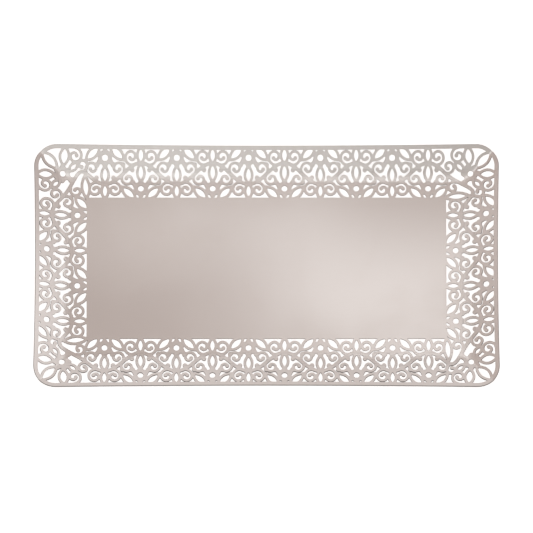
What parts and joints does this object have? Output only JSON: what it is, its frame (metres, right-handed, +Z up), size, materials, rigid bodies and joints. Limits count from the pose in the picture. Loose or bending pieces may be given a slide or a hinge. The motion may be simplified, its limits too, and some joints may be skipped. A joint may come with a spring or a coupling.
{
  "type": "serving tray",
  "caption": "Rectangular pierced steel serving tray: a solid centre panel inside an openwork vine border that rises to a plain rim with rounded corners, on soft bumper feet.",
  "frame": {"origin": "on the table under the middle of the tray", "axes": "+X along the tray's length, +Y towards its back long side, +Z up out of the tray"},
  "size_m": [0.369, 0.2014, 0.0126],
  "materials": {
    "satin_steel": "satin, warm tone",
    "clear_rubber": "soft, frosted"
  },
  "bodies": {
    "root": {"centre_panel": "satin_steel", "front_border": "satin_steel", "right_border": "satin_steel", "back_border": "satin_steel", "left_border": "satin_steel", "front_wing": "satin_steel", "right_wing": "satin_steel", "back_wing": "satin_steel", "left_wing": "satin_steel", "front_right_corner": "satin_steel", "back_right_corner": "satin_steel", "back_left_corner": "satin_steel", "front_left_corner": "satin_steel", "front_left_foot": "clear_rubber", "front_right_foot": "clear_rubber", "back_left_foot": "clear_rubber", "back_right_foot": "clear_rubber"}
  },
  "joints": []
}
